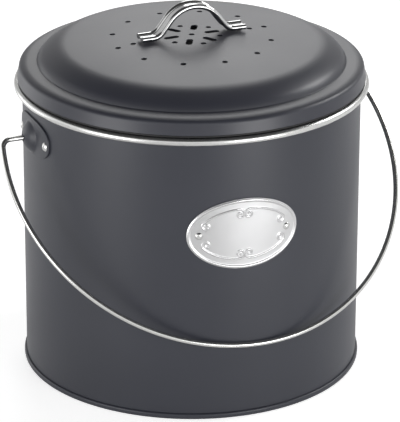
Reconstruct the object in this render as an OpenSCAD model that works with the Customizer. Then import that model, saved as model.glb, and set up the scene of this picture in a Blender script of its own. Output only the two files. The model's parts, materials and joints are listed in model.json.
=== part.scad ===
// Compost caddy: a round sheet-steel pail with a swinging wire bail and a lift-off vented lid.
// Millimetres. +Z is up, the base stands on z = 0, the bail turns about X, the front faces -Y.

/* [Pail] */
// Outside diameter of the pail's wall
pail_d = 210; // [190:1:230]
// Height of the rim's top above the ground
pail_h = 184.6; // [160:0.2:210]
// Thickness of the steel sheet
sheet = 0.8; // [0.6:0.1:0.9]
// Height of the hem round the base
hem_h = 3.6; // [3:0.2:6]
// How far the hem stands out from the wall
hem_out = 1.4; // [1.4:0.1:2]
// Height of the floor's underside above the ground
floor_z = 3.6; // [2:0.2:6]
// Width of the lock seam down the back
seam_w = 7; // [5:1:10]

/* [Rim] */
// Diameter of the rolled bead
bead_d = 4.8; // [4:0.2:4.8]
// How far the bead stands out from the wall
bead_out = 5; // [5:0.2:7]
// Depth of the rim's lining inside the mouth
lining_h = 12; // [8:1:16]

/* [Bail] */
// Diameter of the wire
wire_d = 3.2; // [2.8:0.1:3.6]
// Height of the bail's axis
pivot_z = 159.8; // [140:0.2:162]
// Radius of the bow's left half
bow_left_r = 130.8; // [128:0.2:134]
// Radius of the bow's right half
bow_right_r = 120.2; // [118:0.2:124]
// Distance from the bail's axis to the lowest point of the bow
bow_low = 154.8; // [150:0.2:158]
// How far that point lies to the right of the middle
bow_shift = 4.2; // [0:0.2:5]
// Radius of the bend beside each ear
elbow_r = 6; // [5:0.5:8]

/* [Ears] */
// Length of an ear round the wall
ear_l = 48.8; // [48:0.2:52]
// Height of an ear
ear_h = 24; // [23.6:0.2:28]
// How far the ear's middle lies above the bail's axis
ear_rise = 1; // [0:0.1:1]
// Thickness of an ear
ear_t = 1.2; // [1:0.1:1.3]
// Diameter of the ear's pressed dome where it leaves the plate
dome_d = 21; // [19:0.5:21]
// How far the dome's top stands out from the wall
dome_out = 6.3; // [6:0.1:7]
// Distance from the dome's middle to each rivet
ear_rivet_gap = 19.9; // [19:0.1:20]

/* [Nameplate] */
// Length of the plate round the wall
plate_l = 70.5; // [60:0.5:80]
// Height of the plate
plate_h = 44.8; // [36:0.2:50]
// Height of the plate's middle
plate_z = 121.3; // [100:0.1:124]
// Turn of the plate from the middle of the front, in degrees
plate_turn = -4.6; // [-10:0.1:10]
// Distance from the plate's middle to each rivet
plate_rivet_gap = 27.8; // [24:0.2:28.4]

/* [Lid] */
// Height of the middle of the lid
lid_top = 212; // [208:0.2:216]
// Diameter of the ring of twelve vent holes
vent_ring_d = 98.4; // [90:0.2:100]
// Turn of the vents from the handle's line, in degrees
vent_turn = 2; // [0:0.5:4]
// Diameter of a vent hole
vent_d = 3.6; // [2.6:0.1:3.8]
// Width of a slot
slot_w = 4.2; // [3.4:0.1:4.4]
// Radius of the six inner holes' circle
inner_ring_r = 17.6; // [16:0.1:19]
// Distance from the lid's middle to the hole beyond each foot of the handle
foot_hole_x = 38.6; // [38:0.1:41]
// Distance from the lid's middle to where the slots begin
slot_start = 8.7; // [8:0.1:11]
// Distance from the lid's middle to where the slots end
slot_end = 18.6; // [17:0.1:20]

/* [Lid handle] */
// Width of the handle's strap
strap_w = 11.2; // [10:0.2:13]
// Diameter of the strap's rolled edges
roll_d = 3.4; // [2.8:0.1:3.8]
// Thickness of the strap's middle
strap_t = 1.2; // [1:0.1:1.6]
// Radius of the arch
arch_r = 19.5; // [18:0.5:21]
// Length of each foot
foot_l = 7.2; // [6:0.2:8]

/* [Filter] */
// Diameter of the charcoal filter
filter_d = 118; // [112:1:120]
// Thickness of the charcoal filter
filter_t = 10; // [7:0.5:10]

/* [Hidden] */
$fn = 96;

// Fits between pieces
slack = 0.1;
seat = 0.05;
pin_slack = 0.06;
lid_gap = 0.3;

// Where bends meet: the gap between them, half the length of the band over it, and its extra radius
joint_gap = 0.05;
joint_band = 0.2;
joint_proud = 0.02;

wall_r = pail_d / 2;
through = 2 * wall_r;
bead_r = bead_d / 2;
bead_mid_r = wall_r + bead_out - bead_r;
rim_in_r = wall_r - sheet - slack;

rivet_r = 1.6;
tail_r = 2.4;
tail_h = 0.8;
ear_head_r = 2.8;
ear_head_h = 1.3;
plate_head_r = 2.3;
plate_head_h = 1.1;
plate_t = 0.7;
plate_edge_w = 1.7;
plate_edge_h = 0.6;
seam_t = 0.7;
hem_round = 1.2;

wire_r = wire_d / 2;
bail_tilt = asin((wall_r + lid_gap + wire_r) / bow_low);
ear_face = wall_r + seat;
wire_end_x = wall_r + 1.6;
head_r = 2.6;
head_h = 1.6;

// The lid's outline from its middle outwards: each stretch bends at a radius to a slope below level,
// then runs straight. A negative radius is a hollow bend.
crown_r = 648;
crown_end = 77.5;
crown_slope = asin(crown_end / crown_r);
skirt_slope = 80;
lid_bends = [
    [crown_r, crown_slope, 0],
    [26, 24, 0],
    [38.6, 35, 0],
    [11.8, 66, 0],
    [-0.6, 7, 8.3],
    [3.2, skirt_slope, 0]
];

collar_r = wall_r - 2.4;
collar_low = 11.6;
gasket_t = 1.25;
gasket_z = pail_h + lid_gap;
skirt_z = gasket_z + gasket_t + seat;
collar_top = skirt_z + sheet;

// The skirt runs straight on from the last bend until its inner edge is down at skirt_z
skirt_edge = skirt_z + sheet * cos(skirt_slope);
skirt_l = (last(trail([0, lid_top], 0, lid_bends))[1] - skirt_edge) / sin(skirt_slope);
lid_turns = [for (t = lid_bends) t[1] == skirt_slope ? [t[0], t[1], skirt_l] : t];

strap_slope = 52;
strap_lift = 17.3;
foot_bend = 8;

// Each foot stands clear of the lid on a weld nub
foot_rest = lid_top + 2;
nub_d = 4.4;
nub_x = 31;
nub_low = lid_top - nub_x * nub_x / (2 * crown_r) + slack;

holder_t = 1.6;
holder_r = filter_d / 2 + 0.4 + holder_t;
holder_top = lid_top - 4.3;
filter_top = holder_top - 0.7;
holder_floor = filter_top - filter_t - holder_t;
// Air holes in the holder's floor: how many, the radius of their circle, and their own radius
air_holes = [[1, 0, 7], [6, 22, 6.5], [12, 43, 7.5]];
clip_w = 8;
clip_lip = 7;
clip_arm = 8;
clip_slope = 5.9;
clip_z = lid_top - 3.8;

// Points of a bend from slope a0 to slope a1 that starts at p
function bend(p, radius, a0, a1) =
    let (n = max(4, ceil(abs(a1 - a0) / 9)))
    [for (i = [1:n])
        let (a = a0 + (a1 - a0) * i / n)
        p + radius * [sin(a) - sin(a0), cos(a) - cos(a0)]];

// Where a straight run of a given length and slope ends
function run(p, length, a) = p + length * [cos(a), -sin(a)];

// The last item of a list
function last(list) = list[len(list) - 1];

// The points along a list of [radius, slope, straight] stretches
function trail(p, a, turns, i = 0) =
    i == len(turns) ? [p] :
    let (
        t = turns[i],
        curve = bend(p, t[0], a, t[1]),
        stop = len(curve) - (t[2] > 0 ? 1 : 2),
        next = run(last(curve), t[2], t[1])
    )
    concat([p], [for (j = [0:stop]) curve[j]], trail(next, t[1], turns, i + 1));

// The same stretches at a depth below the surface they describe
function sunk(turns, depth) = [for (t = turns) [t[0] - depth, t[1], t[2]]];

function backwards(list) = [for (i = [len(list) - 1:-1:0]) list[i]];

// An ellipse of exponent 2, or a fuller oval above it
function oval(a, b, power, n = 72) =
    [for (i = [0:n - 1])
        let (c = cos(360 * i / n), s = sin(360 * i / n))
        [a * sign(c) * pow(abs(c), 2 / power), b * sign(s) * pow(abs(s), 2 / power)]];

// Points of a rounded corner: a quarter turn round a middle from an angle
function corner(middle, r, from) =
    [for (i = [0:5]) middle + r * [cos(from + 18 * i), sin(from + 18 * i)]];

// The angle that a length takes up round the wall
function round_wall(length) = length / wall_r * 180 / PI;

// A tube from z0 to z1
module tube(r_in, r_out, z0, z1) {
    translate([0, 0, z0])
        difference() {
            cylinder(r = r_out, h = z1 - z0);
            translate([0, 0, -1])
                cylinder(r = r_in, h = z1 - z0 + 2);
        }
}

// A solid of revolution from [radius, height] points
module turned(points) {
    rotate_extrude()
        polygon(points);
}

// A rod along +X from x0 to x1
module rod_x(r, x0, x1) {
    translate([x0, 0, 0])
        rotate([0, 90, 0])
            cylinder(r = r, h = x1 - x0);
}

// A straight run of a section that starts at p with slope a, from `from` to `to` along it.
// The section's own x crosses the path within XY, and its y becomes Z.
module straight(p, a, from, to, grow = 0) {
    $grow = grow;
    translate(p)
        rotate(-a)
            rotate([90, 0, 90])
                translate([0, 0, from])
                    linear_extrude(to - from)
                        children();
}

// A bend of a section from slope a0 to slope a1, starting at p. Each end stops just short of its joint.
module curve(p, radius, a0, a1) {
    $grow = 0;
    short = joint_gap / abs(radius) * 180 / PI;
    side = radius > 0 ? 90 : -90;
    translate(p - radius * [sin(a0), cos(a0)])
        rotate(min(side - a0, side - a1) + short)
            rotate_extrude(angle = abs(a1 - a0) - 2 * short)
                translate([abs(radius), 0])
                    children();
}

// Carries a section along [radius, slope, straight] stretches in XY, from p with slope a.
// A short band a hair larger than the section joins each bend to its neighbours.
module along(p, a, turns, i = 0) {
    if (i < len(turns)) {
        t = turns[i];
        corner = last(bend(p, t[0], a, t[1]));
        straight(p, a, -joint_band, joint_band, joint_proud)
            children();
        curve(p, t[0], a, t[1])
            children();
        if (t[2] > 0) {
            straight(corner, t[1], -joint_band, joint_band, joint_proud)
                children();
            straight(corner, t[1], joint_gap, t[2])
                children();
        }
        along(run(corner, t[2], t[1]), t[1], turns, i + 1)
            children();
    }
}

// A rivet along +X through the wall, with its round head's seat at x = face
module rivet(face, r, h) {
    ball_r = (r * r + h * h) / (2 * h);
    spread = asin(r / ball_r);
    inner = wall_r - sheet - seat;
    head = [for (k = [0:8])
        let (a = spread * k / 8)
        [ball_r * sin(a), face + h - ball_r * (1 - cos(a))]];
    rotate([0, 90, 0])
        turned(concat(head, [
            [rivet_r, face], [rivet_r, inner], [tail_r, inner],
            [tail_r, inner - tail_h], [0, inner - tail_h]
        ]));
}

// Places a child at the ear rivets of the +X side
module at_ear_rivets() {
    for (side = [-1, 1])
        rotate(side * round_wall(ear_rivet_gap))
            translate([0, 0, pivot_z])
                children();
}

// Places a child, drawn along +X, at the nameplate's rivets
module at_plate_rivets() {
    for (side = [-1, 1])
        rotate(plate_turn - 90 + side * round_wall(plate_rivet_gap))
            translate([0, 0, plate_z])
                children();
}

module rivet_hole() {
    rod_x(rivet_r + seat, wall_r - 10, wall_r + 10);
}

module pail_wall() {
    color("#4c4e51")
        difference() {
            union() {
                tube(wall_r - sheet, wall_r, sheet + slack, pail_h - sheet - slack);
                back_seam();
            }
            for (turn = [0, 180])
                rotate(turn)
                    at_ear_rivets()
                        rivet_hole();
            at_plate_rivets()
                rivet_hole();
        }
}

// The folded seam that closes the rolled sheet
module back_seam() {
    intersection() {
        tube(wall_r - sheet / 2, wall_r + seam_t, hem_h + slack, pail_h - bead_d - 2);
        translate([-seam_w / 2, 0, 0])
            cube([seam_w, through, pail_h]);
    }
}

module base_pan() {
    foot = 0.4;
    inner = rim_in_r - sheet;
    round_r = wall_r + hem_out - hem_round;
    color("#4c4e51")
        turned(concat(
            [[0, floor_z], [inner, floor_z], [inner, foot], [inner + foot, 0]],
            corner([round_r, hem_round], hem_round, -90),
            corner([round_r, hem_h - hem_round], hem_round, 0),
            [
                [wall_r + slack, hem_h], [wall_r + slack, sheet], [rim_in_r, sheet],
                [rim_in_r, floor_z + sheet], [0, floor_z + sheet]
            ]
        ));
}

module rim_ring() {
    lip_r = rim_in_r - sheet;
    color("#e6e6e4") {
        rotate_extrude()
            translate([bead_mid_r, pail_h - bead_r])
                difference() {
                    circle(r = bead_r);
                    circle(r = bead_r - sheet);
                }
        turned([
            [bead_mid_r - bead_r / 3, pail_h - joint_proud],
            [bead_mid_r - bead_r / 3, pail_h - sheet], [rim_in_r, pail_h - sheet],
            [rim_in_r, pail_h - lining_h], [lip_r, pail_h - lining_h],
            [lip_r, pail_h - sheet], [lip_r + sheet, pail_h - joint_proud]
        ]);
    }
}

// The ear of the +X side
module ear() {
    ball_r = (pow(dome_d / 2, 2) + pow(dome_out, 2)) / (2 * dome_out);
    ball_x = ear_face + dome_out - ball_r;
    color("#4c4e51")
        difference() {
            union() {
                intersection() {
                    tube(ear_face, ear_face + ear_t, pivot_z - ear_h, pivot_z + ear_h);
                    translate([0, 0, pivot_z + ear_rise])
                        rotate([0, 90, 0])
                            linear_extrude(through)
                                polygon(oval(ear_h / 2, wall_r * sin(round_wall(ear_l / 2)), 2.5));
                }
                intersection() {
                    translate([ball_x, 0, pivot_z])
                        sphere(r = ball_r);
                    tube(ear_face, through, pivot_z - ear_h, pivot_z + ear_h);
                    translate([wall_r / 2, -dome_d, pivot_z - dome_d])
                        cube([wall_r, 2 * dome_d, 2 * dome_d]);
                }
            }
            translate([ball_x, 0, pivot_z])
                sphere(r = ball_r - ear_t);
            translate([0, 0, pivot_z])
                rod_x(wire_r + pin_slack, wall_r, wall_r + 2 * dome_out);
            at_ear_rivets()
                rivet_hole();
        }
}

module left_ear() {
    rotate(180)
        ear();
}

module right_ear() {
    ear();
}

module ear_rivets() {
    color("#dcdcda")
        at_ear_rivets()
            rivet(ear_face + ear_t + seat, ear_head_r, ear_head_h);
}

module left_ear_rivets() {
    rotate(180)
        ear_rivets();
}

module right_ear_rivets() {
    ear_rivets();
}

// Half of the bail in XY: its part of the bow, the elbow, the straight end that the ear holds and its head
module bail_half(r, shift) {
    low = [shift, -bow_low];
    turn = acos((elbow_r + r - bow_low) / (r - elbow_r));
    elbow_x = shift + (r - elbow_r) * sin(turn);
    curve(low, -r, 0, -turn)
        wire_section();
    along(last(bend(low, -r, 0, -turn)), -turn, [[-elbow_r, -180, elbow_x - wire_end_x]])
        wire_section();
    rod_x(head_r, wire_end_x - head_h / 2, wire_end_x + head_h / 2);
}

module wire_section() {
    circle(r = wire_r + $grow);
}

module bail() {
    color("#d2d2d0")
        translate([0, 0, pivot_z])
            rotate([90 - bail_tilt, 0, 0]) {
                straight([bow_shift, -bow_low], 0, -joint_band, joint_band, joint_proud)
                    wire_section();
                bail_half(bow_right_r, bow_shift);
                rotate([0, 180, 0])
                    bail_half(bow_left_r, -bow_shift);
            }
}

module nameplate() {
    reach = wall_r * sin(round_wall(plate_l / 2));
    face = wall_r + seat;
    color("#ececea")
        difference() {
            rotate(plate_turn) {
                plate_layer(face, face + plate_t, reach, plate_h / 2);
                difference() {
                    plate_layer(face + plate_t / 2, face + plate_t + plate_edge_h, reach, plate_h / 2);
                    plate_layer(wall_r - 1, wall_r + 9, reach - plate_edge_w, plate_h / 2 - plate_edge_w);
                }
            }
            at_plate_rivets()
                rivet_hole();
        }
}

// One oval layer of the plate between two radii
module plate_layer(r_in, r_out, half_w, half_h) {
    intersection() {
        tube(r_in, r_out, plate_z - plate_h, plate_z + plate_h);
        translate([0, 0, plate_z])
            rotate([90, 0, 0])
                linear_extrude(through)
                    polygon(oval(half_w, half_h, 2));
    }
}

module nameplate_rivets() {
    color("#dcdcda")
        at_plate_rivets()
            rivet(wall_r + seat + plate_t + seat, plate_head_r, plate_head_h);
}

module vent_hole() {
    translate([0, 0, lid_top - 20])
        cylinder(d = vent_d, h = 30);
}

// The centre hole, six slots and six holes round it, one hole beyond each foot of the handle,
// and the ring of twelve
module vents() {
    vent_hole();
    rotate(vent_turn) {
        for (k = [0:5]) {
            rotate(60 * k)
                slot();
            rotate(60 * k + 30)
                translate([inner_ring_r, 0, 0])
                    vent_hole();
        }
        for (k = [0:11])
            rotate(30 * k)
                translate([vent_ring_d / 2, 0, 0])
                    vent_hole();
    }
    for (turn = [0, 180])
        rotate(turn)
            translate([foot_hole_x, 0, 0])
                vent_hole();
}

module slot() {
    translate([0, 0, lid_top - 20]) {
        for (x = [slot_start + slot_w / 2, slot_end - slot_w / 2])
            translate([x, 0, 0])
                cylinder(d = slot_w, h = 30);
        translate([slot_start + slot_w / 2, -slot_w / 2, 0])
            cube([slot_end - slot_start - slot_w, slot_w, 30]);
    }
}

module lid_shell() {
    outside = trail([0, lid_top], 0, lid_turns);
    inside = trail([0, lid_top - sheet], 0, sunk(lid_turns, sheet));
    color("#55575a")
        difference() {
            turned(concat(outside, backwards(inside)));
            vents();
        }
}

// The strap's section: a flat middle between two rolled edges
module strap_section() {
    roll_r = roll_d / 2;
    square([strap_t + 2 * $grow, strap_w - roll_d], center = true);
    for (side = [-1, 1])
        translate([0, side * (strap_w / 2 - roll_r)])
            circle(r = roll_r + $grow);
}

module lid_handle() {
    arch_drop = arch_r * (1 - cos(strap_slope));
    bend_drop = foot_bend * (1 - cos(strap_slope));
    leg_l = (strap_lift - arch_drop - bend_drop) / sin(strap_slope);
    arch_end = arch_r * [sin(strap_slope), cos(strap_slope) - 1];
    knee = run(arch_end, leg_l, strap_slope);
    color("#dededc") {
        translate([0, 0, foot_rest + strap_lift]) {
            rotate([90, 0, 0])
                curve([-arch_end[0], arch_end[1]], arch_r, -strap_slope, strap_slope)
                    strap_section();
            for (turn = [0, 180])
                rotate(turn)
                    rotate([90, 0, 0]) {
                        straight(arch_end, strap_slope, -joint_band, joint_band, joint_proud)
                            strap_section();
                        straight(arch_end, strap_slope, joint_gap, leg_l - joint_gap)
                            strap_section();
                        along(knee, strap_slope, [[-foot_bend, 0, foot_l]])
                            strap_section();
                    }
        }
        for (x = [-nub_x, nub_x])
            translate([x, 0, nub_low])
                cylinder(d = nub_d, h = foot_rest - nub_low);
    }
}

module lid_collar() {
    in_r = collar_r - sheet;
    low = pail_h - collar_low;
    out_r = wall_r + 1.7;
    color("#4c4e51")
        turned([
            [in_r, low], [collar_r, low], [collar_r, skirt_z], [out_r, skirt_z],
            [out_r, collar_top], [in_r, collar_top]
        ]);
}

module lid_gasket() {
    lip = 0.35;
    in_r = collar_r + 0.2;
    out_r = wall_r + 2.8;
    color("#161617")
        turned([
            [in_r, gasket_z], [out_r - lip, gasket_z], [out_r, gasket_z + lip],
            [out_r, gasket_z + gasket_t - lip], [out_r - lip, gasket_z + gasket_t],
            [in_r, gasket_z + gasket_t]
        ]);
}

module charcoal_filter() {
    color("#1d1d1e")
        translate([0, 0, filter_top - filter_t])
            cylinder(d = filter_d, h = filter_t);
}

module filter_holder() {
    color("#222224")
        difference() {
            translate([0, 0, holder_floor])
                cylinder(r = holder_r, h = holder_top - holder_floor);
            translate([0, 0, holder_floor + holder_t])
                cylinder(r = holder_r - holder_t, h = holder_top);
            for (ring = air_holes, k = [1:ring[0]])
                rotate(360 * k / ring[0])
                    translate([ring[1], 0, holder_floor - 1])
                        cylinder(r = ring[2], h = holder_t + 2);
        }
}

// Three bent tabs welded inside the lid that hold the filter's holder up
module filter_clips() {
    leg_r = holder_r + slack;
    lip_z = holder_floor - slack - sheet;
    color("#bcbcba")
        for (k = [0:2])
            rotate(120 * k + 90)
                translate([0, -clip_w / 2, 0]) {
                    translate([leg_r, 0, lip_z])
                        cube([sheet, clip_w, clip_z - sheet / 2 - lip_z]);
                    translate([leg_r - clip_lip, 0, lip_z])
                        cube([clip_lip + sheet, clip_w, sheet]);
                    translate([leg_r, 0, clip_z])
                        rotate([0, clip_slope, 0])
                            translate([0, 0, -sheet])
                                cube([clip_arm, clip_w, sheet]);
                }
}

pail_wall();
base_pan();
rim_ring();
left_ear();
right_ear();
left_ear_rivets();
right_ear_rivets();
bail();
nameplate();
nameplate_rivets();
lid_shell();
lid_handle();
lid_collar();
lid_gasket();
charcoal_filter();
filter_holder();
filter_clips();
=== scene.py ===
import json
import math

import bmesh
import bpy
import numpy as np
from mathutils import Matrix, Vector
from mathutils.geometry import delaunay_2d_cdt


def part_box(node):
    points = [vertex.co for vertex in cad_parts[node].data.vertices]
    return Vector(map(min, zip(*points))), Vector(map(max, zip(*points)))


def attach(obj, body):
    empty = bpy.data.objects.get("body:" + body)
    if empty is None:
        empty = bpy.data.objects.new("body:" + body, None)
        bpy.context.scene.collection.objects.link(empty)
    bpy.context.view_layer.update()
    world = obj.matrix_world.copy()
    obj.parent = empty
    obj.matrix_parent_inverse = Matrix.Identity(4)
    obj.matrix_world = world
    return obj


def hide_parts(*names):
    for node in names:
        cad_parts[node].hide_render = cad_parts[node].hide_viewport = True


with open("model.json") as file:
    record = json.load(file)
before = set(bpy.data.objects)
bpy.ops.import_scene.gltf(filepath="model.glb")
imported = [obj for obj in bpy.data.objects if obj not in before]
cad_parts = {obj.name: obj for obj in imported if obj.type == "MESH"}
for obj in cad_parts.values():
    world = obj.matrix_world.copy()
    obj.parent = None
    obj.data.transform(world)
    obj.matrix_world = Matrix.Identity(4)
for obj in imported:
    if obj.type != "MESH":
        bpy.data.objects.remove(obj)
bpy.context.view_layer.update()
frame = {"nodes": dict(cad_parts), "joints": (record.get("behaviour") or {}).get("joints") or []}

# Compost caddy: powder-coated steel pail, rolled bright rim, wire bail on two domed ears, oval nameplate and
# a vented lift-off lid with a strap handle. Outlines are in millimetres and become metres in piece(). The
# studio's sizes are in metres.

MM = 0.001
FRONT, RIGHT, BACK, LEFT = -90, 0, 90, 180


# ---------------------------------------------------------------- sizes

def reach(node):
    """Lowest and highest corner of a CAD node, in millimetres."""
    return [np.array(corner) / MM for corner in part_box(node)]


wall_r = reach("pail_wall")[1][0]
pail_h = reach("rim_ring")[1][2]
bead_out_r = reach("rim_ring")[1][0]
lining_z = reach("rim_ring")[0][2]
hem_r = reach("base_pan")[1][0]
lid_top = reach("lid_shell")[1][2]
skirt_z = reach("lid_shell")[0][2]
pivot_z = next(joint["pos_m"][2] for joint in frame["joints"] if joint["name"] == "bail_hinge") / MM

sheet = 0.8
seat = 0.05
joint_gap = 0.1
seam_w, seam_t = 7.0, 0.7
hem_h, hem_round, floor_z = 3.6, 1.2, 3.6
bead_d = 4.8

wire_r = 1.6
bow_left_r, bow_right_r, bow_low, bow_shift, elbow_r = 130.8, 120.2, 154.8, 4.2, 6.0
wire_end_x = wall_r + 1.6
bail_clear = 0.3

ear_l, ear_h, ear_rise, ear_t, ear_power = 48.8, 24.0, 1.0, 1.2, 2.5
dome_r, dome_out, dome_blend = 10.5, 6.3, 0.7
wire_hole_r = 2.0
ear_rivet_gap, ear_rivet_r, ear_rivet_h = 19.9, 2.8, 1.3

plate_l, plate_h, plate_t = 70.5, 44.8, 0.7
plate_turn = -4.6
plate_rivet_gap, plate_rivet_r, plate_rivet_h = 27.8, 2.3, 1.1
plate_z = reach("nameplate")[0][2] + plate_h / 2

vent_r, vent_ring_r, inner_ring_r, foot_hole_x, vent_turn = 1.8, 49.2, 17.6, 38.6, 2.0
slot_r, slot_start, slot_end = 2.1, 8.7, 18.6
slot_step, vent_step = 60.0, 30.0
crown_r, crown_end, crown_edge = 648.0, 77.5, 54.0
skirt_bend, skirt_slope = 3.0, 80.0
collar_r = wall_r - 2.4

strap_w, roll_r, strap_t, arch_r = 11.2, 1.7, 1.2, 19.5
strap_slope, strap_lift, foot_bend, foot_l, foot_rise = 52.0, 17.3, 8.0, 7.2, 2.0
nub_r, nub_x = 2.2, 31.0


# ---------------------------------------------------------------- outlines

def bends(start, slope, turns, step=3.0, longest=4.0):
    """Points and slopes of an outline that leaves `start` at `slope`, in degrees below level.

    Each turn is (radius, new slope, straight run). Its arc moves the outline by
    radius * (sin a - sin a0, cos a - cos a0), and a negative radius bends it upwards.
    """
    points, slopes = [np.array([start], float)], [np.array([slope], float)]
    for radius, new_slope, run in turns:
        arc_length = abs(radius * math.radians(new_slope - slope))
        count = max(2, math.ceil(abs(new_slope - slope) / step), math.ceil(arc_length / longest))
        a = np.linspace(slope, new_slope, count + 1)
        turn = np.stack([np.sin(np.radians(a)), np.cos(np.radians(a))], 1)
        arc = points[-1][-1] + radius * (turn - turn[0])
        points.append(arc[1:])
        slopes.append(a[1:])
        if run:
            ahead = np.array([math.cos(math.radians(new_slope)), -math.sin(math.radians(new_slope))])
            count = max(1, math.ceil(run / longest))
            points.append(arc[-1] + ahead * np.linspace(0, run, count + 1)[1:, None])
            slopes.append(np.full(count, float(new_slope)))
        slope = new_slope
    return np.concatenate(points), np.concatenate(slopes)


def both_ways(right, left):
    """One outline from two that start at the same place. The left one is given as its mirror image in x."""
    mirror = left[0][:0:-1] * [-1, 1]
    return np.concatenate([mirror, right[0]]), np.concatenate([-left[1][:0:-1], right[1]])


def rounded(corners, steps=7, hold=0.12):
    """A closed outline of (x, y, radius) corners, each with an arc that touches its two sides.

    A point just outside each end of an arc keeps the shading of the straight sides flat.
    """
    path = []
    for k, (x, y, radius) in enumerate(corners):
        here = np.array([x, y], float)
        if not radius:
            path.append(here[None])
            continue
        before = np.array(corners[k - 1][:2]) - here
        after = np.array(corners[(k + 1) % len(corners)][:2]) - here
        before, after = before / np.linalg.norm(before), after / np.linalg.norm(after)
        half = math.acos(np.clip(before @ after, -1, 1)) / 2
        middle = here + (before + after) / np.linalg.norm(before + after) * radius / math.sin(half)
        start, stop = here + before * radius / math.tan(half), here + after * radius / math.tan(half)
        first = math.atan2(*(start - middle)[::-1])
        swing = (math.atan2(*(stop - middle)[::-1]) - first + math.pi) % (2 * math.pi) - math.pi
        a = first + swing * np.linspace(0, 1, steps + 1)
        arc = middle + radius * np.stack([np.cos(a), np.sin(a)], 1)
        path.append(np.concatenate([[start + before * hold], arc, [stop + after * hold]]))
    return np.concatenate(path)


# ---------------------------------------------------------------- surfaces

def grid(points, wrap_rows=False, wrap_columns=False):
    """Corner points and four-sided faces of a surface given as rows and columns of points."""
    rows, columns = points.shape[:2]
    last_row, last_column = rows - (not wrap_rows), columns - (not wrap_columns)
    i, j = np.meshgrid(np.arange(last_row), np.arange(last_column), indexing="ij")
    next_i, next_j = (i + 1) % rows, (j + 1) % columns
    corners = [i * columns + j, next_i * columns + j, next_i * columns + next_j, i * columns + next_j]
    faces = np.stack(corners, -1)
    return points.reshape(-1, 3), faces.reshape(-1, 4)


def turned(outline, columns=256, closed=True):
    """A surface of revolution: every [radius, height] point of the outline runs once round the Z axis."""
    turn = np.linspace(0, 2 * np.pi, columns, endpoint=False)[:, None]
    radius, height = outline[:, 0], outline[:, 1]
    points = np.stack([np.cos(turn) * radius, np.sin(turn) * radius, height + 0 * turn], -1)
    return grid(points, wrap_rows=True, wrap_columns=closed)


def swept(points, slopes, section, across, up, origin):
    """A bar: a section carried along a flat path, each copy square to the path at its slope.

    The section's first coordinate lies along the path's normal (sin a, cos a) and its second along the normal
    of the path's plane. Each end is closed onto the line where the first coordinate is 0.
    """
    across, up, origin = np.array(across, float), np.array(up, float), np.array(origin, float)
    beside = np.cross(across, up)
    a = np.radians(slopes)[:, None]
    ends = section * [0, 1]

    def place(p, angle, outline):
        x = p[:, :1] + np.sin(angle) * outline[:, 0]
        y = p[:, 1:] + np.cos(angle) * outline[:, 0]
        z = outline[:, 1] + 0 * x
        return origin + x[..., None] * across + y[..., None] * up + z[..., None] * beside

    bar = place(points, a, section)
    caps = [grid(np.concatenate([bar[k:k + 1], place(points[[k]], a[[k]], ends)]), wrap_columns=True)
            for k in (0, len(points) - 1)]
    return [grid(bar, wrap_columns=True)] + caps


def circle(radius, count=24):
    """Points radius * (cos a, sin a) for even steps of a."""
    a = np.linspace(0, 2 * np.pi, count, endpoint=False)
    return radius * np.stack([np.cos(a), np.sin(a)], 1)


def on_wall(s, z, out, turn):
    """Points at a distance `s` round the wall from the angle `turn`, at height z, `out` beyond the wall."""
    a = np.radians(turn) + s / wall_r
    return np.stack([(wall_r + out) * np.cos(a), (wall_r + out) * np.sin(a), z + 0 * a], -1)


def piece(name, surfaces, body, finish, nodes, crease=38, raised=None):
    """Joins surfaces into one closed piece on a body: welded, facing outwards, smooth up to the crease angle.

    `raised` gives each point of the surfaces a number from 0 to 1 that the material can read.
    """
    starts = np.cumsum([0] + [len(points) for points, _ in surfaces])
    corners = np.concatenate([points for points, _ in surfaces]) * MM
    faces = [face for (_, quads), start in zip(surfaces, starts) for face in (quads + start).tolist()]
    mesh = bpy.data.meshes.new(name)
    mesh.from_pydata(corners.tolist(), [], faces)
    if raised is not None:
        values = mesh.attributes.new("raised", "FLOAT", "POINT").data
        values.foreach_set("value", raised.astype(np.float32))
    work = bmesh.new()
    work.from_mesh(mesh)
    bmesh.ops.remove_doubles(work, verts=work.verts, dist=2e-6)
    bmesh.ops.dissolve_degenerate(work, edges=work.edges, dist=1e-6)
    bmesh.ops.recalc_face_normals(work, faces=work.faces)
    work.to_mesh(mesh)
    work.free()
    mesh.polygons.foreach_set("use_smooth", np.ones(len(mesh.polygons), bool))
    mesh.set_sharp_from_angle(angle=math.radians(crease))
    made = bpy.data.objects.new(name, mesh)
    bpy.context.scene.collection.objects.link(made)
    mesh.materials.append(finish)
    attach(made, body)
    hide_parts(*nodes)


# ---------------------------------------------------------------- shader maths

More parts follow.
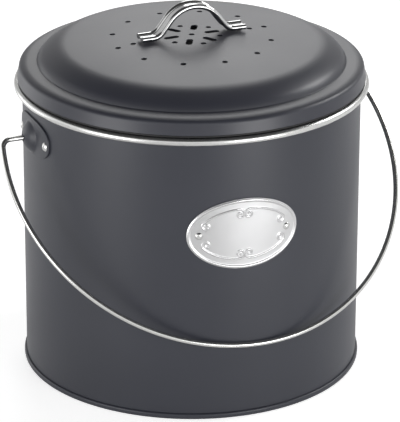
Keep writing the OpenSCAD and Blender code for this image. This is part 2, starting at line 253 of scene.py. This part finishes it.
class Wire:
    """A shader socket that Python arithmetic turns into Math nodes."""

    def __init__(self, tree, socket):
        self.tree = tree
        self.socket = socket

    def node(self, kind, settings=(), inputs=(), output=0):
        """Adds a node: its settings first, then the values or wires of its sockets. Returns one output."""
        made = self.tree.nodes.new(kind)
        for key, value in dict(settings).items():
            setattr(made, key, value)
        for key, value in dict(inputs).items():
            if isinstance(value, Wire):
                self.tree.links.new(value.socket, made.inputs[key])
            else:
                made.inputs[key].default_value = value
        return Wire(self.tree, made.outputs[output])

    def maths(self, operation, *values, clamp=False):
        """A Math node on wires and numbers."""
        settings = {"operation": operation, "use_clamp": clamp}
        return self.node("ShaderNodeMath", settings, dict(enumerate(values)))

    def __add__(self, other):
        return self.maths("ADD", self, other)

    def __radd__(self, other):
        return self.maths("ADD", other, self)

    def __sub__(self, other):
        return self.maths("SUBTRACT", self, other)

    def __rsub__(self, other):
        return self.maths("SUBTRACT", other, self)

    def __mul__(self, other):
        return self.maths("MULTIPLY", self, other)

    def __rmul__(self, other):
        return self.maths("MULTIPLY", other, self)

    def between(self, low, high):
        """0 below low, 1 above high, and even in between."""
        return self.maths("DIVIDE", self - low, high - low, clamp=True)

    def noise(self, scale, detail, rough=0.5):
        """Cloudy noise from 0 to 1, with about `scale` clouds to the metre."""
        sockets = {"Vector": self, "Scale": scale, "Detail": detail, "Roughness": rough}
        return self.node("ShaderNodeTexNoise", {}, sockets)

    def stretched(self, x, y, z):
        """A place whose coordinates are multiplied by x, y and z."""
        return self.node("ShaderNodeMapping", {}, {"Vector": self, "Scale": (x, y, z)})

    def mix(self, first, second):
        """One colour where this wire is 0 and another where it is 1."""
        sockets = {0: self, 6: first, 7: second}
        return self.node("ShaderNodeMix", {"data_type": "RGBA"}, sockets, output=2)

    def bump(self, strength, distance):
        """A normal that follows this wire as a height."""
        return self.node("ShaderNodeBump", {}, {"Height": self, "Strength": strength, "Distance": distance})


def material(name):
    """A new material; returns it, a wire of its object coordinates and its shader's inputs."""
    made = bpy.data.materials.new(name)
    made.use_nodes = True
    tree = made.node_tree
    shader = tree.nodes["Principled BSDF"]
    place = Wire(tree, None).node("ShaderNodeTexCoord", output="Object")
    return made, place, shader.inputs


def connect(inputs, **values):
    """Sets the shader's sockets by name, with _ for a space: a wire is linked and a value is set."""
    for key, value in values.items():
        socket = inputs[key.replace("_", " ")]
        if isinstance(value, Wire):
            value.tree.links.new(value.socket, socket)
        else:
            socket.default_value = value


def shade(colour, factor):
    """A colour for a socket, lighter or darker by a factor."""
    return tuple(channel * factor for channel in colour) + (1,)


# ---------------------------------------------------------------- finishes

def powder_coat(name, colour, rough):
    """Satin powder coat: fine orange peel, faint cloudiness in colour and sheen, a few specks of dust."""
    made, place, inputs = material(name)
    cloud = place.noise(14, 3).between(0.35, 0.65)
    peel = place.noise(1500, 2)
    swell = place.noise(420, 1)
    specks = place.noise(2600, 1).between(0.74, 0.82)
    tone = cloud.mix(shade(colour, 0.96), shade(colour, 1.05))
    connect(inputs, Base_Color=specks.mix(tone, shade(colour, 1.35)),
            Roughness=rough + (cloud - 0.5) * 0.03 + (peel - 0.5) * 0.06,
            Normal=(peel * 0.6 + swell).bump(0.05, 0.0003), IOR=1.5)
    return made


def polished(name, colour, rough):
    """Bright metal: the grain of its drawing or polishing, hazy patches and a hint of unevenness."""
    made, place, inputs = material(name)
    haze = place.noise(60, 3).between(0.4, 0.7)
    grain = place.noise(900, 2)
    wave = place.noise(90, 1)
    connect(inputs, Base_Color=haze.mix(shade(colour, 1.0), shade(colour, 0.93)), Metallic=1.0,
            Roughness=rough + haze * 0.05 + (grain - 0.5) * 0.06,
            Normal=(grain * 0.3 + wave).bump(0.06, 0.0004))
    return made


def turned_steel(name, colour, rough):
    """Bright steel with the fine rings that rolling leaves round the axis."""
    made, place, inputs = material(name)
    across = place.node("ShaderNodeSeparateXYZ", {}, {0: place})
    height = Wire(place.tree, across.socket.node.outputs["Z"])
    level = {0: place.stretched(1, 1, 0)}
    radius = place.node("ShaderNodeVectorMath", {"operation": "LENGTH"}, level, output="Value")
    rings = place.node("ShaderNodeCombineXYZ", {}, {0: radius, 1: height})
    line = rings.noise(3200, 2)
    haze = place.noise(40, 3).between(0.4, 0.7)
    connect(inputs, Base_Color=haze.mix(shade(colour, 1.0), shade(colour, 0.95)), Metallic=1.0,
            Roughness=rough + haze * 0.05 + (line - 0.5) * 0.1,
            Normal=line.bump(0.05, 0.0002))
    return made


def pressed_silver(name, colour):
    """Satin silver sheet: raised lines are rubbed bright, the field keeps a fine even grain."""
    made, place, inputs = material(name)
    raised = place.node("ShaderNodeAttribute", {"attribute_name": "raised"}, {}, output="Fac")
    grain = place.noise(2400, 3)
    cloud = place.noise(45, 2).between(0.35, 0.65)
    field = cloud.mix(shade(colour, 0.97), shade(colour, 1.02))
    connect(inputs, Base_Color=raised.mix(field, shade(colour, 1.08)), Metallic=0.85,
            Roughness=0.36 - raised * 0.18 + (grain - 0.5) * 0.08,
            Normal=grain.bump(0.06, 0.0002))
    return made


def moulded(name, colour, rough):
    """Moulded rubber or plastic with a fine eroded grain."""
    made, place, inputs = material(name)
    grain = place.noise(1300, 3)
    cloud = place.noise(30, 2).between(0.35, 0.65)
    connect(inputs, Base_Color=cloud.mix(shade(colour, 0.85), shade(colour, 1.2)),
            Roughness=rough + (grain - 0.5) * 0.15, Normal=grain.bump(0.12, 0.0003))
    return made


def felt(name, colour):
    """Charcoal-filled felt: matted fibres in light and dark tufts."""
    made, place, inputs = material(name)
    tuft = place.noise(260, 4, 0.7)
    fibre = place.stretched(1, 1, 4).noise(1700, 3, 0.7)
    connect(inputs, Base_Color=tuft.between(0.4, 0.62).mix(shade(colour, 0.6), shade(colour, 2.2)),
            Roughness=0.95, Normal=(tuft + fibre * 0.5).bump(0.6, 0.0008), Sheen_Weight=0.3)
    return made


body_paint = powder_coat("anthracite_body_coat", (0.03, 0.032, 0.0425), 0.4)
lid_paint = powder_coat("anthracite_lid_coat", (0.034, 0.0355, 0.047), 0.38)
rim_steel = turned_steel("rolled_rim_steel", (0.68, 0.68, 0.67), 0.24)
wire_steel = polished("bail_wire_chrome", (0.68, 0.68, 0.665), 0.2)
strap_steel = polished("strap_chrome", (0.64, 0.64, 0.64), 0.1)
rivet_steel = polished("rivet_chrome", (0.66, 0.66, 0.65), 0.16)
clip_steel = polished("clip_zinc", (0.6, 0.6, 0.58), 0.3)
plate_silver = pressed_silver("nameplate_silver", (0.6, 0.6, 0.605))
gasket_rubber = moulded("gasket_rubber", (0.012, 0.012, 0.013), 0.6)
holder_plastic = moulded("holder_plastic", (0.02, 0.02, 0.022), 0.5)
filter_felt = felt("charcoal_felt", (0.02, 0.02, 0.021))


# ---------------------------------------------------------------- pail

def pail_body():
    """The rolled wall. Its radius grows by the seam's thickness over the seam's width at the back.

    At the seam's sides and ends the growth t from 0 to 1 is softened as 3 t^2 - 2 t^3.
    """
    low, top = sheet + joint_gap, pail_h - sheet - joint_gap
    seam_low, seam_top, soft = hem_h + 0.3, pail_h - bead_d - 2, 0.5
    plain_rows = [60, 120]
    side = math.degrees((seam_w / 2 + 2 * soft) / wall_r)
    over_seam = np.linspace(-side, side, 33)
    rest = np.linspace(side, 360 - side, 288)[1:-1]
    turn = np.radians(BACK + np.concatenate([over_seam, rest]))
    height = np.array([low, seam_low - soft, seam_low, seam_low + soft, *plain_rows,
                       seam_top - soft, seam_top, seam_top + soft, top])[:, None]
    beside = np.abs((turn - math.radians(BACK) + np.pi) % (2 * np.pi) - np.pi) * wall_r
    rise = np.clip((seam_w / 2 + soft - beside) / (2 * soft), 0, 1)
    ends = np.clip(np.minimum(height - seam_low + soft, seam_top + soft - height) / (2 * soft), 0, 1)
    radius = wall_r + seam_t * (3 * rise**2 - 2 * rise**3) * (3 * ends**2 - 2 * ends**3)
    height, inner_r = height + 0 * radius, wall_r - sheet + 0 * radius
    outside = np.stack([radius * np.cos(turn), radius * np.sin(turn), height], -1)
    inside = np.stack([inner_r * np.cos(turn), inner_r * np.sin(turn), height], -1)
    shell = np.concatenate([outside, inside[::-1]])
    piece("pail_shell", [grid(shell, wrap_rows=True, wrap_columns=True)], "pail", body_paint,
          ["pail_wall"])


def base():
    """The floor and the round hem that locks it to the wall."""
    inner = wall_r - 2 * sheet - joint_gap
    wall = wall_r + 0.02
    hem = rounded([
        (inner, floor_z, 0.5), (inner, 0.0, 0.6), (hem_r, 0.0, hem_round), (hem_r, hem_h, hem_round),
        (wall, hem_h, 0.1), (wall, sheet, 0), (inner + sheet, sheet, 0),
        (inner + sheet, floor_z + sheet, 0.9),
    ])
    # The hem's outline is opened between its last and first corners, where the floor joins it
    floor_line = np.array([[0, floor_z + sheet], [0, floor_z]])
    outline = np.concatenate([hem, floor_line])
    piece("pail_base", [turned(outline)], "pail", body_paint, ["base_pan"])


def rim():
    """The bright ring: a lining inside the mouth, a flat top and the rolled bead outside."""
    lip_r = wall_r - 2 * sheet - joint_gap
    bead_in_r, bead_low = bead_out_r - bead_d, pail_h - bead_d
    bead_r = bead_d / 2 - 0.01
    edge_r = 0.2
    under = pail_h - sheet
    outline = rounded([
        (lip_r, lining_z, edge_r), (lip_r, pail_h, 2 * sheet), (bead_out_r, pail_h, bead_r),
        (bead_out_r, bead_low, bead_r), (bead_in_r, bead_low, bead_r - 0.4), (bead_in_r, under, 0.3),
        (lip_r + sheet, under, 0.3), (lip_r + sheet, lining_z, edge_r),
    ], steps=12, hold=0.02)
    piece("rolled_rim", [turned(outline, 288)], "pail", rim_steel, ["rim_ring"])


def ear(name, turn, node):
    """A pressed plate on the wall, with a ball-shaped dome blended into it and a hole for the wire.

    Its outline is the superellipse |x / a|^n + |z / b|^n = 1. Where the plate is p high and the ball d high,
    the surface is (p + d + sqrt((p - d)^2 + blend^2)) / 2 high, which is the higher one with a soft change.
    """
    ball_r = (dome_r**2 + dome_out**2) / (2 * dome_out)
    a = np.linspace(0, 2 * np.pi, 192, endpoint=False)
    ahead = np.stack([np.cos(a), np.sin(a)], -1)
    edge = (np.abs(ahead / [ear_l / 2, ear_h / 2])**ear_power).sum(-1)**(-1 / ear_power)
    soft = 0.5

    def height(flat):
        r = np.linalg.norm(flat, axis=-1)
        dome = dome_out - ball_r + np.sqrt(np.maximum(ball_r**2 - r**2, 0.01))
        return (ear_t + dome + np.sqrt((ear_t - dome)**2 + dome_blend**2)) / 2

    def rows(flat, out):
        return on_wall(flat[..., 0], pivot_z + flat[..., 1], out, turn)

    def oval(inset):
        return (edge - inset)[..., None] * ahead + [0, ear_rise]

    share = np.linspace(0, 1, 64)[:, None, None]
    flat = wire_hole_r * ahead * (1 - share) + oval(soft) * share
    corner = np.radians(np.linspace(0, 90, 6))[1:, None]
    top = rows(flat, height(flat))
    shoulder = rows(oval(soft - soft * np.sin(corner)), height(oval(0)) - soft + soft * np.cos(corner))
    foot = rows(oval(0 * corner[:1]), seat + 0 * edge[None])
    back = rows(flat[::-1], np.maximum(height(flat[::-1]) - ear_t, seat))
    surface = grid(np.concatenate([top, shoulder, foot, back]), wrap_rows=True, wrap_columns=True)
    piece(name, [surface], "pail", body_paint, [node])


def rivet(turn, z, face, head_r, head_h):
    """A round head and a short tail inside the wall, turned about the line square to the wall.

    The head is the cap of a ball of radius (r^2 + h^2) / (2 h).
    """
    ball_r = (head_r**2 + head_h**2) / (2 * head_h)
    spread = math.asin(head_r / ball_r)
    a = spread * np.linspace(0, 1, 12)
    head = np.stack([ball_r * np.sin(a), face + head_h - ball_r * (1 - np.cos(a))], 1)
    inner, under = -sheet - seat, face - 0.04
    shank_r, tail_r, tail_h = 1.6, 2.4, 0.8
    tail = np.array([
        [head_r - 0.1, under], [shank_r, under], [shank_r, inner], [tail_r - 0.2, inner],
        [tail_r, inner - 0.25], [tail_r - 0.3, inner - tail_h + 0.1], [shank_r - 0.1, inner - tail_h],
        [0, inner - tail_h],
    ])
    outline = np.concatenate([head, tail])
    spin = np.linspace(0, 2 * np.pi, 40, endpoint=False)[:, None]
    across, up = outline[:, 0] * np.cos(spin), outline[:, 0] * np.sin(spin)
    out = wall_r + outline[:, 1] + 0 * spin
    t = math.radians(turn)
    x = out * math.cos(t) - across * math.sin(t)
    y = out * math.sin(t) + across * math.cos(t)
    return grid(np.stack([x, y, z + up], -1), wrap_rows=True)


def rivets(name, turn, gap, head, node):
    """A pair of rivets, each `gap` round the wall from the angle `turn`.

    `head` holds a rivet's height on the pail, the face under its head and the head's radius and height.
    """
    step = math.degrees(gap / wall_r)
    pair = [rivet(turn + side * step, *head) for side in (-1, 1)]
    piece(name, pair, "pail", rivet_steel, [node], crease=50)


# ---------------------------------------------------------------- nameplate

def spiral(middle, from_r, to_r, start, stop, count=48):
    """A curl whose radius shrinks evenly as its angle runs from start to stop degrees."""
    a = np.radians(np.linspace(start, stop, count))
    radius = np.linspace(from_r, to_r, count)
    return np.array(middle) + radius[:, None] * np.stack([np.cos(a), np.sin(a)], 1)


def ornament_lines():
    """One quarter of the plate's embossed line: a curl by the middle, an oval arc and a scroll by the rivet.

    A curved bridge, with its pull towards one point, joins the arc's start to the curl's.
    """
    line_a, line_b = 29.0, 16.2
    near, far = 80, 28
    a = np.radians(np.linspace(near, far, 40))
    arc = np.stack([line_a * np.cos(a), line_b * np.sin(a)], 1)
    scroll_middle, scroll_end_r = np.array([23.3, 6.1]), 0.8
    away = arc[-1] - scroll_middle
    leaving = math.degrees(math.atan2(away[1], away[0]))
    scroll = spiral(scroll_middle, np.linalg.norm(away), scroll_end_r, leaving, -330)
    curl_middle, curl_r, curl_end_r = (2.9, 12.7), 2.8, 0.7
    curl = spiral(curl_middle, curl_r, curl_end_r, 143, 500)
    pull = np.array([1.9, line_b])
    t = np.linspace(0, 1, 12)[:, None]
    bridge = (1 - t)**2 * arc[0] + 2 * t * (1 - t) * pull + t**2 * curl[0]
    return [arc, scroll, np.concatenate([bridge[:-1], curl])]


def line_distance(points, line):
    """How far each point is from a line of straight stretches."""
    start, step = line[:-1], line[1:] - line[:-1]
    away = points[:, None] - start
    share = np.clip((away * step).sum(-1) / (step**2).sum(-1), 0, 1)
    return np.sqrt(((away - share[..., None] * step)**2).sum(-1)).min(1)


def name_plate():
    """The oval plate on the wall. Height is the plate's thickness, the rolled edge and the embossed lines.

    The edge is a ridge at a set distance inside the oval outline. A ridge's height falls with the squared
    cosine of the distance from its line, and the rows of points lie closer together towards the outline.
    """
    half_l, half_h = plate_l / 2, plate_h / 2
    edge_mid, edge_half, edge_rise = 1.15, 1.35, 0.6
    line_half, line_rise = 0.85, 0.5
    a = np.linspace(0, 2 * np.pi, 420, endpoint=False)
    edge = 1 / np.sqrt((np.cos(a) / half_l)**2 + (np.sin(a) / half_h)**2)
    share = 1 - (1 - np.linspace(0, 1, 108)[:, None])**1.25
    s, z = share * edge * np.cos(a), share * edge * np.sin(a)
    level = np.hypot(s / half_l, z / half_h)
    inward = (1 - level) * level / np.maximum(np.hypot(s / half_l**2, z / half_h**2), 1e-6)
    quarter = np.stack([np.abs(s), np.abs(z)], -1).reshape(-1, 2)
    away = np.min([line_distance(quarter, line) for line in ornament_lines()], axis=0)
    away = away.reshape(s.shape)
    ridge = np.cos(np.clip((inward - edge_mid) / edge_half, -1, 1) * np.pi / 2)**2
    line = np.cos(np.clip(away / line_half, 0, 1) * np.pi / 2)**2
    out = seat + plate_t + edge_rise * ridge + line_rise * line
    turn = FRONT + plate_turn
    front = on_wall(s, plate_z + z, out, turn)
    reach_back = np.linspace(1, 0, 14)[:, None] * edge
    back = on_wall(reach_back * np.cos(a), plate_z + reach_back * np.sin(a), seat + 0 * edge, turn)
    raised = np.concatenate([np.maximum(ridge, line).ravel(), np.zeros(back[..., 0].size)])
    surface = grid(np.concatenate([front, back]), wrap_columns=True)
    piece("name_plate", [surface], "pail", plate_silver, ["nameplate"],
          crease=60, raised=raised)


# ---------------------------------------------------------------- bail

def bail_half(bow_r, shift):
    """From the bow's lowest point: half of the bow, a tight bend beside the ear and the straight end.

    The bow turns by t, from where the tight bend ends at the pivot's height:
    bow_r (1 - cos t) + elbow_r (1 + cos t) = bow_low.
    """
    elbow_turn = math.acos((elbow_r + bow_r - bow_low) / (bow_r - elbow_r))
    elbow_x = shift + (bow_r - elbow_r) * math.sin(elbow_turn)
    turns = [(-bow_r, -math.degrees(elbow_turn), 0), (-elbow_r, -180, elbow_x - wire_end_x)]
    return bends((shift, -bow_low), 0, turns, step=4)


def bail():
    """The wire with a round head at each end.

    It leans out until its lowest point clears the wall: bow_low * sin tilt = wall_r + bail_clear + wire_r.
    """
    tilt = math.asin((wall_r + bail_clear + wire_r) / bow_low)
    path = both_ways(bail_half(bow_right_r, bow_shift), bail_half(bow_left_r, -bow_shift))
    up = (0, math.sin(tilt), math.cos(tilt))
    wire = swept(*path, circle(wire_r), (1, 0, 0), up, (0, 0, pivot_z))
    head_r, half_h, head_round = 2.6, 0.8, 0.5
    corners = [(0, -half_h, 0), (head_r, -half_h, head_round), (head_r, half_h, head_round), (0, half_h, 0)]
    points, faces = turned(rounded(corners, steps=4), 32, closed=False)
    heads = [(points[:, [2, 0, 1]] + [side * wire_end_x, 0, pivot_z], faces) for side in (-1, 1)]
    piece("bail_wire", wire + heads, "bail", wire_steel, ["bail"])


# ---------------------------------------------------------------- lid

def lid_outline(step=3.0, longest=4.0):
    """Crown, shoulder, ledge and skirt. The skirt runs on straight as far as its edge is still below."""
    crown = (crown_r, math.degrees(math.asin(crown_end / crown_r)), 0)
    shoulder = [(26, 24, 0), (38.6, 35, 0), (11.8, 66, 0)]
    ledge = [(-0.6, 5, 5.1), (14, 22, 0)]
    turns = [crown] + shoulder + ledge
    edge_z = skirt_z + sheet * math.cos(math.radians(skirt_slope))
    down = bends((0, lid_top), 0, turns + [(skirt_bend, skirt_slope, 0)])[0][-1][1] - edge_z
    skirt = (skirt_bend, skirt_slope, down / math.sin(math.radians(skirt_slope)))
    return bends((0, lid_top), 0, turns + [skirt], step, longest)


def vent_ends():
    """The two ends of each vent's middle line, its direction and its radius.

    A round vent is a slot of no length.
    """
    holes = [(0.0, 0.0, 0.0, vent_r)]
    holes += [(foot_hole_x, foot_hole_x, turn, vent_r) for turn in (0.0, 180.0)]
    slots, ring = vent_turn + np.arange(0, 360, slot_step), vent_turn + np.arange(0, 360, vent_step)
    holes += [(slot_start + slot_r, slot_end - slot_r, turn, slot_r) for turn in slots]
    holes += [(inner_ring_r, inner_ring_r, turn + slot_step / 2, vent_r) for turn in slots]
    holes += [(vent_ring_r, vent_ring_r, turn, vent_r) for turn in ring]
    near, far, turn, radius = np.array(holes).T
    ahead = np.stack([np.cos(np.radians(turn)), np.sin(np.radians(turn))], 1)
    return near[:, None] * ahead, far[:, None] * ahead, ahead, radius


def lid():
    """A dome pressed from one sheet.

    Its crown is a flat pattern with the vents cut out, lifted to the outline's height at each radius, and the
    rest is turned. The inside lies one sheet's thickness below, square to the outline's slope.
    """
    fine_points, fine_slopes = lid_outline(step=0.1, longest=0.5)
    columns, cap_points = 256, 16
    ring_gap, ring_count, ring_points = 2.6, 20, 2.4

    def lifted(flat, depth):
        radius = np.linalg.norm(flat, axis=-1)
        slope = np.radians(np.interp(radius, fine_points[:, 0], fine_slopes))
        height = np.interp(radius, fine_points[:, 0], fine_points[:, 1])
        plan = flat * (1 - depth * np.sin(slope) / np.maximum(radius, 1e-6))[..., None]
        return np.concatenate([plan, (height - depth * np.cos(slope))[..., None]], -1)

    near, far, ahead, hole_r = vent_ends()

    def vent_clearance(flat):
        away = flat[:, None] - near
        length = np.linalg.norm(far - near, axis=1)
        along = np.clip((away * ahead).sum(-1), 0, length)
        return (np.linalg.norm(away - along[..., None] * ahead, axis=-1) - hole_r).min(1)

    half = np.radians(-90 + 180 * (np.arange(cap_points) + 0.5) / cap_points)[:, None, None]
    side = np.stack([-ahead[:, 1], ahead[:, 0]], 1)
    cap = hole_r[:, None] * (np.cos(half) * ahead + np.sin(half) * side)
    vents = np.concatenate([far + cap, near - cap]).transpose(1, 0, 2)
    turn = np.linspace(0, 2 * np.pi, columns, endpoint=False)[:, None]
    border = crown_edge * np.concatenate([np.cos(turn), np.sin(turn)], 1)
    rings = []
    for k in range(1, ring_count + 1):
        count = 2 * round(ring_points * k)
        around = 2 * np.pi * (np.arange(count) + 0.5) / count
        rings.append(k * ring_gap * np.stack([np.cos(around), np.sin(around)], 1))
    filling = np.concatenate(rings)
    filling = filling[vent_clearance(filling) > 0.5]
    flat = np.concatenate([border, vents.reshape(-1, 2), filling])
    loops = [np.arange(columns)]
    loops += [columns + 2 * cap_points * k + np.arange(2 * cap_points) for k in range(len(vents))]
    edges = np.concatenate([np.stack([loop, np.roll(loop, -1)], 1) for loop in loops])
    pattern = delaunay_2d_cdt([Vector(p) for p in flat.tolist()], edges.tolist(), [], 1, 1e-6)
    found, faces = np.array(pattern[0]), np.array(pattern[2])
    faces = faces[vent_clearance(found[faces].mean(1)) > 0]

    points, slopes = lid_outline()
    beyond = points[:, 0] > crown_edge + 0.5
    start = np.array([[crown_edge, np.interp(crown_edge, fine_points[:, 0], fine_points[:, 1])]])
    start_slope = np.interp([crown_edge], fine_points[:, 0], fine_slopes)
    outline, slopes = np.concatenate([start, points[beyond]]), np.concatenate([start_slope, slopes[beyond]])
    a = np.radians(slopes)[:, None]
    inside = outline - sheet * np.concatenate([np.sin(a), np.cos(a)], 1)
    walls = [grid(np.stack([lifted(vent, 0), lifted(vent, sheet)]), wrap_columns=True) for vent in vents]
    surfaces = [(lifted(found, 0), faces), (lifted(found, sheet), faces[:, ::-1]),
                turned(np.concatenate([outline, inside[::-1]]), columns, closed=False)] + walls
    piece("lid_dome", surfaces, "lid", lid_paint, ["lid_shell"])


def strap():
    """The lid's handle: an arched strap with rolled edges and a foot at each end, on a weld nub.

    The arch and the foot's bend fall by their radii * (1 - cos slope), and a straight leg takes up the rest.
    """
    drop = 1 - math.cos(math.radians(strap_slope))
    leg = (strap_lift - (arch_r + foot_bend) * drop) / math.sin(math.radians(strap_slope))
    foot_z = lid_top + foot_rise
    half = [(arch_r, strap_slope, leg), (-foot_bend, 0, foot_l)]
    path = bends((0, foot_z + strap_lift), 0, half, longest=1.5)
    roll_mid = strap_w / 2 - roll_r
    half_t = strap_t / 2
    neck = math.asin(half_t / roll_r)
    a = np.linspace(math.pi - neck, -math.pi + neck, 24)
    roll = np.stack([roll_r * np.sin(a), roll_mid + roll_r * np.cos(a)], 1)
    edge = roll_mid - roll_r * math.cos(neck) - 0.1
    middle = np.stack([np.full(6, -half_t), np.linspace(edge, -edge, 6)], 1)
    section = np.concatenate([roll, middle, roll[::-1] * [1, -1], middle[::-1] * [-1, 1]])
    surfaces = swept(*both_ways(path, path), section, (1, 0, 0), (0, 0, 1), (0, 0, 0))
    nub_z = lid_top - nub_x**2 / (2 * crown_r) + 0.1
    nub = np.array([[0, nub_z], [nub_r, nub_z], [nub_r, foot_z], [0, foot_z]])
    points, faces = turned(nub, 32, closed=False)
    surfaces += [(points + [x, 0, 0], faces) for x in (-nub_x, nub_x)]
    piece("lid_strap", surfaces, "lid", strap_steel, ["lid_handle"])


def seal():
    """The collar inside the mouth, the rubber ring over it and the felt disc in its holder."""
    (_, _, low), (flange_r, _, high) = reach("lid_collar")
    in_r = collar_r - sheet
    edge_r = 0.2
    outline = rounded([
        (in_r, low, edge_r), (collar_r, low, edge_r), (collar_r, high - sheet, sheet / 2),
        (flange_r, high - sheet, edge_r), (flange_r, high, edge_r), (in_r, high, sheet),
    ], steps=4)
    piece("collar_ring", [turned(outline)], "lid", lid_paint, ["lid_collar"])
    (_, _, low), (out_r, _, high) = reach("lid_gasket")
    in_r, lip_r = collar_r + 0.2, 0.55
    corners = [(in_r, low, edge_r), (out_r, low, lip_r), (out_r, high, lip_r), (in_r, high, edge_r)]
    piece("gasket_ring", [turned(rounded(corners, steps=5))], "lid", gasket_rubber,
          ["lid_gasket"])
    (_, _, low), (out_r, _, high) = reach("charcoal_filter")
    pad_r = 1.6
    corners = [(0, low, 0), (out_r, low, pad_r), (out_r, high, pad_r), (0, high, 0)]
    piece("filter_pad", [turned(rounded(corners), 160, closed=False)], "lid", filter_felt,
          ["charcoal_filter"])


def refinish(node, finish):
    """Gives a CAD node its own finish."""
    mesh = frame["nodes"][node].data
    mesh.materials.clear()
    mesh.materials.append(finish)


pail_body()
base()
rim()
ear("ear_right", RIGHT, "right_ear")
ear("ear_left", LEFT, "left_ear")
ear_rivet = (pivot_z, ear_t + seat, ear_rivet_r, ear_rivet_h)
rivets("rivets_right", RIGHT, ear_rivet_gap, ear_rivet, "right_ear_rivets")
rivets("rivets_left", LEFT, ear_rivet_gap, ear_rivet, "left_ear_rivets")
plate_rivet = (plate_z, plate_t + seat, plate_rivet_r, plate_rivet_h)
rivets("plate_rivets", FRONT + plate_turn, plate_rivet_gap, plate_rivet, "nameplate_rivets")
name_plate()
bail()
lid()
strap()
seal()
refinish("filter_holder", holder_plastic)
refinish("filter_clips", clip_steel)


# ---------------------------------------------------------------- studio

camera_turn = 22.2


def background(name, diffuse, glow, mirrored):
    """A white stage surface that keeps shadows: paint plus a glow that is weaker in reflections."""
    made = bpy.data.materials.new(name)
    made.use_nodes = True
    tree = made.node_tree
    tree.nodes.clear()
    start = Wire(tree, None)
    rays = start.node("ShaderNodeLightPath").socket.node.outputs
    seen = Wire(tree, rays["Is Camera Ray"]) + Wire(tree, rays["Is Transmission Ray"])
    strength = seen * glow + Wire(tree, rays["Is Glossy Ray"]) * mirrored
    glowing = start.node("ShaderNodeEmission", {}, {"Strength": strength})
    paint = start.node("ShaderNodeBsdfDiffuse", {}, {"Color": (diffuse, diffuse, diffuse, 1)})
    both = start.node("ShaderNodeAddShader", {}, {0: paint, 1: glowing})
    out = tree.nodes.new("ShaderNodeOutputMaterial")
    tree.links.new(both.socket, out.inputs["Surface"])
    return made


def floor():
    """A flat white square under the pail, too wide for its edge to be seen."""
    half = 6.0
    corners = [(-half, -half, 0), (half, -half, 0), (half, half, 0), (-half, half, 0)]
    mesh = bpy.data.meshes.new("studio_floor")
    mesh.from_pydata(corners, [], [(0, 1, 2, 3)])
    made = bpy.data.objects.new("studio_floor", mesh)
    bpy.context.scene.collection.objects.link(made)
    mesh.materials.append(background("studio_white", diffuse=0.8, glow=0.62, mirrored=0.26))


def sky():
    """White for the rays that see the background, a bright wall all round and a dim ceiling for the light."""
    world = bpy.data.worlds.new("studio")
    bpy.context.scene.world = world
    world.use_nodes = True
    tree = world.node_tree
    shader = tree.nodes["Background"]
    start = Wire(tree, None)
    place = start.node("ShaderNodeTexCoord", output="Generated")
    axes = place.node("ShaderNodeSeparateXYZ", {}, {0: place}).socket.node.outputs
    x, y, height = [Wire(tree, axes[axis]) for axis in "XYZ"]
    turn = math.radians(camera_turn)
    towards_camera = x * -math.sin(turn) - y * math.cos(turn)
    ceiling_dim, back_glow = 0.94, 0.55
    level = back_glow + (1 - back_glow) * towards_camera.between(-0.8, -0.2)
    wall = (1 - ceiling_dim * height.between(0.48, 0.62)) * level
    rays = start.node("ShaderNodeLightPath")
    camera_ray = Wire(tree, rays.socket.node.outputs["Is Camera Ray"])
    strength = camera_ray + (1 - camera_ray) * wall
    tree.links.new(strength.socket, shader.inputs["Strength"])
    shader.inputs["Color"].default_value = (1, 1, 1, 1)


def softbox(name, azimuth, elevation, distance, width, height, glow):
    """A soft lamp of an even glow that faces the pail's middle.

    The azimuth is 0 behind the camera and grows to the camera's right.
    """
    light = bpy.data.lights.new(name, "AREA")
    light.shape = "RECTANGLE"
    light.size, light.size_y, light.energy = width, height, glow * math.pi * width * height
    made = bpy.data.objects.new(name, light)
    bpy.context.scene.collection.objects.link(made)
    a, e = math.radians(azimuth - camera_turn), math.radians(elevation)
    away = Vector((math.sin(a) * math.cos(e), -math.cos(a) * math.cos(e), math.sin(e)))
    aim = Vector((0, 0, 0.12))
    facing = away.to_track_quat("Z", "Y").to_matrix().to_4x4()
    made.matrix_world = Matrix.Translation(aim + away * distance) @ facing


def camera():
    """A long lens that looks down at the pail from front left. Its distances are in radii of the pail."""
    lens_px, frame_px, sensor = 3243.4, 422, 36.0
    body_r = wall_r * MM
    back, up = 18.0 * body_r, 8.3178 * body_r
    turn, yaw, down, roll = math.radians(camera_turn), 0.0028893, 0.391040, 0.0030232
    ahead = Vector((math.sin(yaw) * math.cos(down), math.cos(yaw) * math.cos(down), -math.sin(down)))
    right = Vector((math.cos(yaw), -math.sin(yaw), 0))
    above = right.cross(ahead)
    side = right * math.cos(roll) + above * math.sin(roll)
    top = above * math.cos(roll) - right * math.sin(roll)
    axes = Matrix((side, top, -ahead)).transposed().to_4x4()
    lens = bpy.data.cameras.new("camera")
    lens.sensor_fit, lens.sensor_height = "VERTICAL", sensor
    lens.lens = lens_px * sensor / frame_px
    lens.clip_end = 50
    made = bpy.data.objects.new("camera", lens)
    bpy.context.scene.collection.objects.link(made)
    made.matrix_world = Matrix.Rotation(-turn, 4, "Z") @ Matrix.Translation((0, -back, up)) @ axes
    bpy.context.scene.camera = made


floor()
sky()
lamps = [
    # name, azimuth and elevation in degrees, distance, width and height in metres, glow
    ("left_panel", -48, 3, 0.7, 0.34, 0.32, 3.8),
    ("right_panel", 38, 3, 0.7, 0.3, 0.32, 4.8),
    ("left_side", -115, 3, 0.7, 0.5, 0.32, 1.15),
    ("side_softbox", 115, 35, 1.5, 0.55, 0.4, 10.0),
    ("back_softbox", 178, 28.5, 2.4, 1.1, 2.0, 1.15),
    ("upper_back_softbox", 178, 42, 2.4, 0.9, 1.3, 2.0),
]
for lamp in lamps:
    softbox(*lamp)
camera()
bpy.context.scene.view_settings.view_transform = "Standard"
